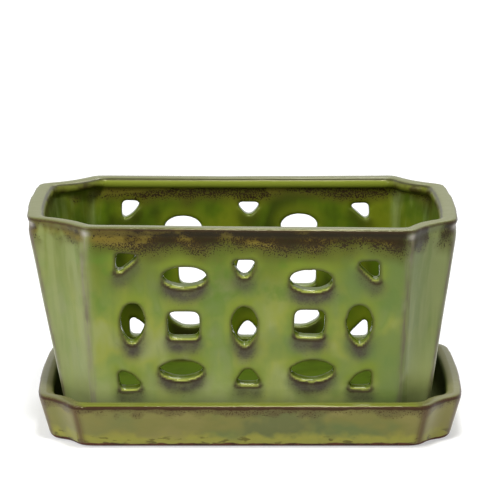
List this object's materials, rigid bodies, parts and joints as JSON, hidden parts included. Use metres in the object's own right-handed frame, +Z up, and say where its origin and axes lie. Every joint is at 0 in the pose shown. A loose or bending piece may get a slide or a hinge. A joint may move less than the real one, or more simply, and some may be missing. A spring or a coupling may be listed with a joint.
{
  "type": "orchid pot",
  "caption": "Rectangular glazed stoneware orchid pot with hollowed corners, cut slots through both long walls and drain holes, standing in a matching lift-off saucer.",
  "frame": {"origin": "centre of the saucer's underside, where the object stands", "axes": "+Z up, +X along the pot's long walls, -Y the slotted wall that faces the viewer"},
  "size_m": [0.2174, 0.125, 0.114],
  "materials": {
    "pot_glaze": "glossy mottled yellow-green glaze breaking to brown under the rim",
    "saucer_glaze": "glossy olive-green glaze over a bare brown clay foot"
  },
  "bodies": {
    "saucer": {"saucer": "saucer_glaze"},
    "pot": {"pot": "pot_glaze"}
  },
  "joints": [
    {"name": "pot_lift", "type": "slide", "parent": "saucer", "child": "pot", "axis": [0, 0, 1], "range_m": [0, 0.1]}
  ]
}
